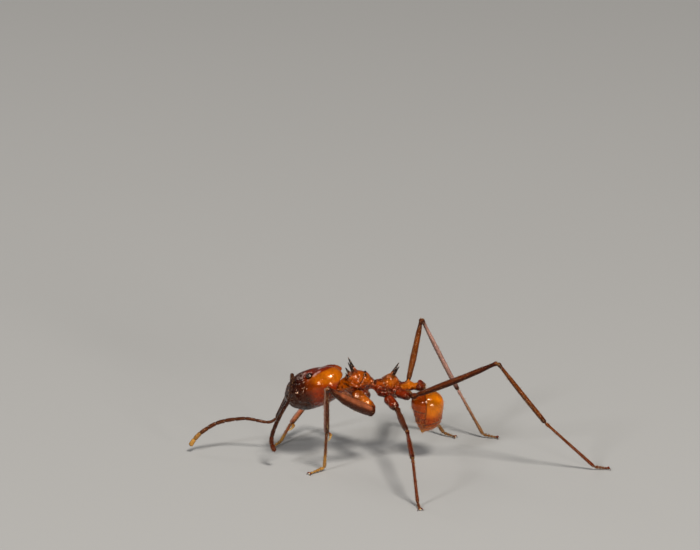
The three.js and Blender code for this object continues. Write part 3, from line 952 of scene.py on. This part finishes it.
# ---------------------------------------------------------------- gaster
def build_gaster():
    """The hanging gaster: a big first back plate laps the belly plates and the rear rings."""
    solid = blend(0.36, ball(vec(3.39, 0, 2.68), (0.74, 0.68, 0.62)),
                  ball(vec(3.44, 0, 2.06), (0.61, 0.56, 0.62)),
                  rod(vec(3.31, 0, 1.75), GASTER_TIP, 0.28, 0.1))
    field = carve(grown(solid, -INSET + 0.015), 0.03, grown(ring_solid, -0.03))
    belly_edges = (2.42, 2.08, 1.8, 1.56)            # where each belly plate ends
    back_edges = (1.84, 1.66, 1.53, 1.42)            # where each back plate ends

    def rings(p):
        """How far each place is above each plate's edge, and 1 on the back plates."""
        x, _, z = p.T
        back = eased(x - 3.3 - 0.05 * np.sin(3 * z), -0.012, 0.012)
        belly_height = z + 0.1 * (x - 3.1)
        back_height = z - 0.22 * (x - 3.4)
        return back, [(belly_height - belly) * (1 - back) + (back_height - dorsal) * back
                      for belly, dorsal in zip(belly_edges, back_edges)]

    def relief(p):
        back, heights = rings(p)
        steps = sum(0.012 * (1 - eased(height, -0.02, 0.012)) for height in heights)
        rims = sum(0.008 * hump(height - 0.04, 0.12) for height in heights)
        return rims - steps - 0.016 * (1 - back)

    shape = plate(field, vec(3.4, 0, 2.35), vec(0.95, 0.95, 1.25), GASTER_CELL, relief)
    x, _, z = shape.verts.T
    back, heights = rings(shape.verts)
    low = 1 - eased(z, 2.0, 2.5)
    tint = painted(
        RUST,
        (AMBER, 0.3 + 0.7 * hump(z - 2.75, 1.0)),
        (mixed(HONEY, GOLD, eased(x, 3.3, 3.7)), back * (1 - 0.3 * low)),
        (RUST, 0.9 * back * low),
        (GOLD, 0.6 * (1 - eased(z, 1.5, 1.9))),
    )
    for height, depth in zip(heights, (0.85, 0.45, 0.45, 0.45)):
        tint = mixed(tint, MAROON, depth * hump(height + 0.012, 0.05))
    tint = mixed(tint, MAROON, 0.85 * hump(x - 3.29 - 0.05 * np.sin(3 * z), 0.045) * eased(z, 1.8, 2.1))
    # Painted shadow: darker at the top, under the hind thigh and next to the ring.
    tint = mixed(tint, MAROON, 0.5 * eased(z, 3.0, 3.25))
    tint = mixed(tint, STRAW, 0.9 * (1 - eased(z, 1.42, 1.52)))
    shape.tint = tint
    shape.rugged = 0.1 + 0.8 * low * (1 - 0.6 * back)
    publish_coated("gaster_plates", shape, "amber_plate", "gaster")


build_gaster()


# ---------------------------------------------------------------- legs
# Joints from the hip to the toe, greatest radii, and the colours of the hip, thigh, shin, foot.
LEGS = {
    "fore_left": dict(
        joints=places((0.12, -0.42, 3.36), (1.04, -0.94, 2.58), (-1.01, -2.6, 4.21), (-1.02, -1.78, 1.9),
                (-1.12, -1.34, 0.16), (-1.84, -1.98, 0.06)),
        radii=(0.3, 0.25, 0.12), colours=(HONEY, CLAY, CHESTNUT, STRAW)),
    "fore_right": dict(
        joints=places((0.12, 0.42, 3.36), (0.8, 1.0, 2.57), (-1.42, 3.2, 2.36), (-2.66, 2.98, 0.74),
                (-3.1, 2.24, 0.16), (-3.44, 1.76, 0.06)),
        radii=(0.3, 0.25, 0.12), colours=(HONEY, CLAY, CLAY, STRAW)),
    "mid_left": dict(
        joints=places((1.56, -0.36, 3.1), (2.06, -0.94, 2.72), (2.46, -4.1, 2.7), (2.66, -5.75, 2.05),
                (2.88, -6.0, 0.16), (2.98, -6.55, 0.06)),
        radii=(0.235, 0.14, 0.1), colours=(RUST, CHESTNUT, BRICK, BRICK)),
    "mid_right": dict(
        joints=places((1.56, 0.36, 3.1), (1.98, 0.94, 2.72), (2.17, 3.7, 2.5), (3.6, 3.75, 1.0),
                (4.22, 3.45, 0.16), (4.75, 3.12, 0.06)),
        radii=(0.235, 0.14, 0.1), colours=(RUST, SIENNA, SIENNA, TAN)),
    "hind_left": dict(
        joints=places((2.02, -0.32, 3.26), (2.64, -0.88, 3.24), (6.38, -2.0, 5.16), (8.51, -1.6, 2.29),
                (10.7, -1.25, 0.16), (11.38, -1.2, 0.06)),
        radii=(0.22, 0.145, 0.105), colours=(RUST, CHESTNUT, RUSSET, BRICK)),
    # hind_right: its shin's colour is a painted sheen.
    "hind_right": dict(
        joints=places((2.02, 0.32, 3.26), (2.52, 0.86, 3.22), (3.18, 3.0, 5.66), (4.84, 3.3, 2.23),
                (5.98, 3.2, 0.16), (6.67, 3.05, 0.06)),
        radii=(0.22, 0.145, 0.105), colours=(RUST, RUSSET, PINK_SHEEN, TAN)),
}
TOE_JOINTS = (0.0, 0.26, 0.46, 0.64, 0.82)    # shares of the foot; the claws start at the last


def between(start, end, share):
    return start + (end - start) * share


def build_hip(name, hip, trochanter, radius, colour):
    """A pear-shaped coxa with fine cross ridges and a dark rim, and painted shade below, behind and between
    its lumps.
    """
    def cross_ridges(share, turns):
        return np.full(len(turns), 0.004 * math.sin(share * 60))

    piece = tube([hip, between(hip, trochanter, 0.5) + UP * 0.02, trochanter],
                 swelling((0, 0.75), (0.3, 1), (0.7, 0.97), (0.92, 0.8), (1, 0.6), scale=radius),
                 sides=40, step=0.025, bulge=cross_ridges)
    lumps = knobs(piece.verts, 4)
    piece.verts += piece.normals() * (0.012 * lumps - 0.01)[:, None]
    piece.rugged[:] = 0.5
    along(piece, (0, MAROON), (0.2, mixed(colour, RUST, 0.5)), (0.5, colour), (0.7, colour), (1, MAROON))
    # Painted shade: darker between the lumps, on the underside and on the rear side.
    piece.tint = mixed(piece.tint, MAROON, 0.4 * eased(-lumps, 0.0, 0.5))
    paint_light_facing(piece, -UP, MAROON, 0.85, -0.5, 0.4)
    paint_light_facing(piece, vec(1, 0, -0.2), GARNET, 0.7, 0.2, 0.9)
    publish_coated(f"hip_{name}", piece, "amber_plate", f"coxa_{name}")


def build_thigh(name, trochanter, knee, radius, colour, fore):
    """A ring-shaped trochanter, then a thigh, stoutest near the body on the fore legs."""
    sag = UP * -(0.11 if fore else 0.05)
    if fore:
        stations = ((0, 0.85), (0.05, 1), (0.09, 0.9), (0.13, 0.97), (0.3, 1),
                    (0.55, 0.88), (0.78, 0.6), (0.93, 0.42), (0.975, 0.5), (1, 0.38))
    else:
        stations = ((0, 0.8), (0.04, 0.95), (0.08, 0.62), (0.15, 0.8),
                    (0.4, 1), (0.75, 0.85), (0.94, 0.6), (0.98, 0.72), (1, 0.55))
    piece = tube([trochanter, between(trochanter, knee, 0.25) + sag * 0.7,
                  between(trochanter, knee, 0.6) + sag, knee], swelling(*stations, scale=radius), sides=28)
    along(piece, (0, MAROON), (0.07, CHESTNUT), (0.09, UMBER), (0.11, colour), (0.7, colour),
          (0.93, MAROON), (0.985, CHESTNUT), (1, TAN))
    # Painted shade: the underside is darkened nearly to black.
    paint_light_facing(piece, -UP, MAROON, 0.95, -0.35, 0.1)
    piece.rugged[:] = 0.8
    publish_coated(f"thigh_{name}", piece, "chestnut_plate", f"femur_{name}")


def strigil(ankle, downward, side):
    """The fore leg's comb: a stout curved golden blade beside the foot's long joint."""
    comb = ankle + vec(0.08, 0, 0.03)
    bow = [comb, comb + downward * 0.14 + vec(0.1, -0.03 * side, 0),
           comb + downward * 0.32 + vec(0.09, 0, 0), comb + downward * 0.46]
    blade = tube(bow, swelling((0, 0.06), (0.3, 0.08), (0.75, 0.06), (1, 0.016)),
                 sides=14, step=0.02, flat=0.6)
    return along(blade, (0, RUST), (0.35, STRAW), (1, BONE))


def build_shin(name, knee, ankle, heel, radius, colour, fore):
    """A shin with a knuckle at the knee and a spur, or a comb on a fore leg, at the ankle."""
    piece = tube([knee, between(knee, ankle, 0.5) - UP * 0.02, ankle],
                 swelling((0, 0.8), (0.03, 0.95), (0.08, 0.72), (0.4, 1), (0.85, 1.02), (0.97, 0.95),
                          (1, 0.7), scale=radius), sides=20)
    along(piece, (0, TAN), (0.03, MAROON), (0.15, colour), (0.85, colour), (0.97, MAROON), (1, TAN))
    # Painted shade on the underside.
    paint_light_facing(piece, -UP, UMBER, 0.6)
    piece.rugged[:] = 0.7
    if fore:
        # A painted highlight streak down the front edge, and painted shade on the rear side.
        paint_light_facing(piece, vec(-1, 0, 0), PINK_SHEEN, 0.9, 0.2, 0.8)
        paint_light_facing(piece, vec(1, 0, 0), MAROON, 0.7, 0.2, 0.8)
    downward = unit(heel - ankle)
    if fore:
        spur = strigil(ankle, downward, -1 if name.endswith("left") else 1)
    else:
        base = between(knee, ankle, 0.97)
        way = unit(unit(ankle - knee) + downward * 0.6 + vec(0.35, 0, 0))
        spur = tube([base, base + way * 0.12, base + way * 0.25],
                    swelling((0, 0.035), (0.4, 0.026), (1, 0.008)), sides=8, step=0.02)
        along(spur, (0, RUST), (1, STRAW))
    publish(f"shin_{name}", join(piece, spur), "golden_limb", f"tibia_{name}")
    coats[f"tibia_{name}"] = piece


def build_long_foot_joint(name, ankle, heel, shin_colour, colour, fore):
    piece = tube([ankle, between(ankle, heel, 0.4), between(ankle, heel, 0.8), heel],
                 swelling((0, 0.06), (0.04, 0.078), (0.1, 0.06), (0.6, 0.066), (0.95, 0.076), (1, 0.06)),
                 sides=16)
    if fore:
        along(piece, (0, CHESTNUT), (0.4, shin_colour), (0.5, shin_colour), (0.75, colour), (1, colour))
    else:
        along(piece, (0, shin_colour), (0.35, mixed(shin_colour, colour, 0.6)), (1, colour))
    # Painted shade on the underside.
    paint_light_facing(piece, -UP, CHESTNUT, 0.5)
    publish_coated(f"long_foot_joint_{name}", piece, "golden_limb", f"tarsus_{name}")


def claw(base, forward, side_way, length):
    """A hooked claw that curves out, forward and down to the ground."""
    middle = base + forward * length * 0.5 + side_way * length * 0.45 + UP * 0.03
    tip = base + forward * length * 0.8 + side_way * length * 0.75
    tip[2] = 0.014
    hook = tube([base, middle, tip], swelling((0, 0.034), (0.5, 0.026), (1, 0.01)), sides=10, step=0.02)
    return along(hook, (0, RUST), (1, UMBER))


def build_toes(name, heel, toe, colour):
    """Four short flared foot joints, two claws and the pad between them."""
    forward = unit((toe - heel) * vec(1, 1, 0))
    across = np.cross(UP, forward)
    shapes = []
    for n, (start, end) in enumerate(zip(TOE_JOINTS, TOE_JOINTS[1:])):
        width = (0.066, 0.062, 0.058, 0.046)[n]
        bead = tube([between(heel, toe, share) for share in (start, (start + end) / 2, end)],
                    swelling((0, 0.7), (0.7, 1), (0.92, 1.15), (1, 0.9), scale=width),
                    sides=12, step=0.025)
        shapes.append(along(bead, (0, colour * 0.45), (0.25, colour), (1, colour * 0.8)))
    wrist = between(heel, toe, TOE_JOINTS[-1])
    for way in (-1, 1):
        shapes.append(claw(wrist, forward, across * way, 0.17))
    pad = tube([wrist + forward * 0.02, wrist + forward * 0.06, vec(*(wrist + forward * 0.1)[:2], 0.04)],
               swelling((0, 0.03), (0.7, 0.04), (1, 0.035)), sides=10, step=0.02)
    shapes.append(along(pad, (0, TAN), (1, BONE)))
    publish(f"toes_{name}", join(*shapes), "golden_limb", f"foot_{name}")
    coats[f"foot_{name}"] = join(*shapes[:4])


def build_leg(name, joints, radii, colours):
    hip, trochanter, knee, ankle, heel, toe = joints
    fore = name.startswith("fore")
    build_hip(name, hip, trochanter, radii[0], colours[0])
    build_thigh(name, trochanter, knee, radii[1], colours[1], fore)
    build_shin(name, knee, ankle, heel, radii[2], colours[2], fore)
    build_long_foot_joint(name, ankle, heel, colours[2], colours[3], fore)
    build_toes(name, heel, toe, colours[3])


for leg_name, leg in LEGS.items():
    build_leg(leg_name, **leg)


# ---------------------------------------------------------------- bristles
BEND = 0.5                             # how far a hair bows over, against its length


def bristles(shape, count, length, thickness, lift, lie, seed, where=None, tint=BONE):
    """
    Tapered hairs rooted on a shape: lift is how far they stand off it, and lie the way they
    lean. Each hair's unwrap is a small patch at its root's place on the shape's own.
    """
    draw = np.random.default_rng(seed)
    corners = shape.verts[shape.faces]
    cross = np.cross(corners[:, 1] - corners[:, 0], corners[:, 2] - corners[:, 0])
    area = np.linalg.norm(cross, axis=1)
    if where is not None:
        area = area * where(corners.mean(axis=1))
    chosen = draw.choice(len(area), count, p=area / area.sum())
    a, b = draw.random((2, count, 1))
    fold = a + b > 1
    a, b = np.where(fold, 1 - a, a), np.where(fold, 1 - b, b)
    c0, c1, c2 = (corners[chosen, n] for n in range(3))
    root = c0 + (c1 - c0) * a + (c2 - c0) * b
    normal = unit(cross[chosen])
    lean = np.broadcast_to(lie, root.shape)
    lean = unit(lean - normal * (lean * normal).sum(1, keepdims=True) + draw.normal(0, 0.22, root.shape))
    way = unit(normal * lift + lean * (1 - lift) + draw.normal(0, 0.08, root.shape))
    reach = length * draw.uniform(0.65, 1.2, (count, 1))
    side_way = unit(np.cross(way, normal) + 1e-6)
    other = np.cross(way, side_way)
    rings = []
    for share, width in ((-0.06, 1.0), (0.35, 0.85), (0.7, 0.55)):
        centre = root + way * reach * share + lean * reach * BEND * max(share, 0) ** 2 * 0.5
        for turn in (0, 1, 2):
            angle = turn * 2 * math.pi / 3
            rings.append(centre + (side_way * math.cos(angle) + other * math.sin(angle)) * thickness * width)
    tip = root + way * reach + lean * reach * BEND * 0.5
    verts = np.stack([*rings, tip], axis=1)
    pattern = [(0, 2, 1)]
    for low in (0, 3):
        for n in range(3):
            m = (n + 1) % 3
            pattern += [(low + n, low + m, low + 3 + m), (low + n, low + 3 + m, low + 3 + n)]
    pattern += [(6 + n, 6 + (n + 1) % 3, 9) for n in range(3)]
    faces = np.array(pattern)[None] + (np.arange(count) * 10)[:, None, None]
    chart = shape.chart[shape.faces[chosen, 0]][:, None, :] * 0.98 + 0.01
    spot = 0.0015 * np.stack([np.cos(np.arange(10) * 2.1), np.sin(np.arange(10) * 2.1)], 1)
    hairs = Shape(verts.reshape(-1, 3), faces.reshape(-1, 3), (chart + spot).reshape(-1, 2))
    shade = draw.uniform(0.75, 1.1, (count, 1)).repeat(10, axis=0)
    hairs.tint = tint * shade
    return hairs


def charted(hairs, column, row, columns, rows):
    """Moves hairs' unwrap into one cell of a larger sheet."""
    hairs.chart = (hairs.chart + vec(column, row)) / vec(columns, rows)
    return hairs


BACK = vec(1, 0, -0.2)
BELOW = vec(0.1, 0, -1)


def coat_body():
    head = bristles(coats["head"], 240, 0.07, 0.0035, 0.5, vec(-0.9, 0, -0.4), 1, tint=TAN)
    publish("bristles_head", head, "pale_hair", unwrapped=True)
    trunk = bristles(coats["mesosoma"], 190, 0.1, 0.0045, 0.6, BACK, 2, tint=STRAW)
    waist = bristles(coats["petiole"], 40, 0.1, 0.0045, 0.6, BACK, 3, tint=STRAW)
    ring = bristles(coats["postpetiole"], 45, 0.11, 0.0045, 0.6, BACK, 4, tint=STRAW)
    whole = join(charted(trunk, 0, 0, 2, 2), charted(waist, 1, 0, 2, 2), charted(ring, 0, 1, 2, 2))
    publish("bristles_mesosoma", whole, "pale_hair", unwrapped=True)

    def dense_low(q):
        return 0.04 + eased(2.4 - q[:, 2], 0, 0.5) * (0.3 + eased(3.3 - q[:, 0], 0, 0.1))

    flat = bristles(coats["gaster"], 700, 0.06, 0.003, 0.2, BELOW, 5, where=dense_low, tint=GOLD)
    standing = bristles(coats["gaster"], 170, 0.15, 0.0045, 0.6, BELOW, 6, tint=STRAW)
    publish("bristles_gaster", join(flat, standing), "pale_hair", unwrapped=True)


coat_body()

# how many bristles each segment of a leg has and how long they are, and how many on a feeler
SEGMENTS = {
    "coxa": (30, 0.09),
    "femur": (130, 0.1),
    "tibia": (180, 0.09),
    "tarsus": (200, 0.08),
    "foot": (130, 0.055),
}
FEELER_PARTS = {"scape": 80, "whip_1": 80, "whip_2": 110, "whip_3": 110}


def coat_leg(name, joints, seed):
    shapes = []
    for column, (segment, (count, length)) in enumerate(SEGMENTS.items()):
        way = unit(joints[column + 1] - joints[column])
        hairs = bristles(coats[f"{segment}_{name}"], count, length, 0.0045, 0.45, way, seed + column,
                         tint=mixed(TAN, BONE, 0.3))
        shapes.append(charted(hairs, column, 0, len(SEGMENTS), 1))
    publish(f"bristles_{name}", join(*shapes), "pale_hair", unwrapped=True)


for leg_number, (leg_name, leg) in enumerate(LEGS.items()):
    coat_leg(leg_name, leg["joints"], 100 + 10 * leg_number)


def coat_feeler(side):
    name = side_name(side)
    shapes = []
    for column, (part, count) in enumerate(FEELER_PARTS.items()):
        hairs = bristles(coats[f"{part}_{name}"], count, 0.06, 0.0045, 0.4, vec(-0.5, 0, -0.8),
                         300 + column + side, tint=TAN)
        shapes.append(charted(hairs, column, 0, len(FEELER_PARTS), 1))
    publish(f"bristles_feeler_{name}", join(*shapes), "pale_hair", unwrapped=True)


both_sides(coat_feeler)


# ---------------------------------------------------------------- floor, lights and camera
FLOOR_SIZE = 3.0                       # metres


def build_floor():
    """A plain pale floor with a very faint tooth."""
    mesh = bpy.data.meshes.new("floor")
    half = FLOOR_SIZE / 2
    corners = [(-half, -half, 0), (half, -half, 0), (half, half, 0), (-half, half, 0)]
    mesh.from_pydata(corners, [], [(0, 1, 2, 3)])
    floor = placed("floor", mesh)
    material, tree, shader = new_material("floor")
    colours = tree.nodes.new("ShaderNodeValToRGB")
    colours.color_ramp.elements[0].color = (0.4, 0.396, 0.386, 1)
    colours.color_ramp.elements[1].color = (0.43, 0.426, 0.416, 1)
    plug(tree, colours, {"Fac": add(tree, "TexNoise", {"Scale": 40})["Fac"]})
    plug(tree, shader, {"Roughness": 0.7, "Base Color": colours.outputs["Color"]})
    mesh.materials.append(material)


build_floor()


def aimed(item, place, target):
    item.location = place
    item.rotation_mode = "QUATERNION"
    item.rotation_quaternion = (Vector(target) - Vector(place)).to_track_quat("-Z", "Y")


def softbox(name, place, size, power, colour=(1, 1, 1)):
    light = bpy.data.lights.new(name, "AREA")
    light.shape = "DISK"
    light.size = size
    light.energy = power
    light.color = colour
    aimed(placed(name, light), place, (0, 0, 3 * MM))


softbox("key", (0.094, -0.259, 0.393), 0.11, 2.1, (1, 0.96, 0.9))
softbox("second", (0.24, -0.43, 0.07), 0.08, 1.2, (1, 0.97, 0.93))
softbox("left", (-0.25, -0.3, 0.225), 0.08, 0.8)
softbox("back", (-0.3, 0.3, 0.3), 0.2, 0.3, (1, 0.95, 0.9))

world = bpy.data.worlds.new("studio")
world.use_nodes = True
plug(world.node_tree, world.node_tree.nodes["Background"], {"Color": (0.9, 0.93, 1.0, 1), "Strength": 0.07})
bpy.context.scene.world = world
bpy.context.scene.view_settings.view_transform = "Standard"

# The camera looks down 16 degrees from 160 mm in front of a point above the ant.
PHOTO_WIDTH = 700
CAMERA_DISTANCE = 160
CAMERA_ELEVATION = math.radians(16)
AIM_HEIGHT = 8.536578
PIXELS_PER_MM = 23                      # at the aimed point
SENSOR = 36


def build_camera():
    camera = bpy.data.cameras.new("camera")
    camera.sensor_width = SENSOR
    camera.lens = SENSOR * PIXELS_PER_MM * CAMERA_DISTANCE / PHOTO_WIDTH
    camera.clip_start = 0.005
    camera.clip_end = 10
    eye = placed("camera", camera)
    aim = AXES_SHIFT + vec(0, 0, AIM_HEIGHT)
    away = vec(0, -math.cos(CAMERA_ELEVATION), math.sin(CAMERA_ELEVATION)) * CAMERA_DISTANCE
    aimed(eye, Vector((aim + away) * MM), Vector(aim * MM))
    bpy.context.scene.camera = eye


build_camera()
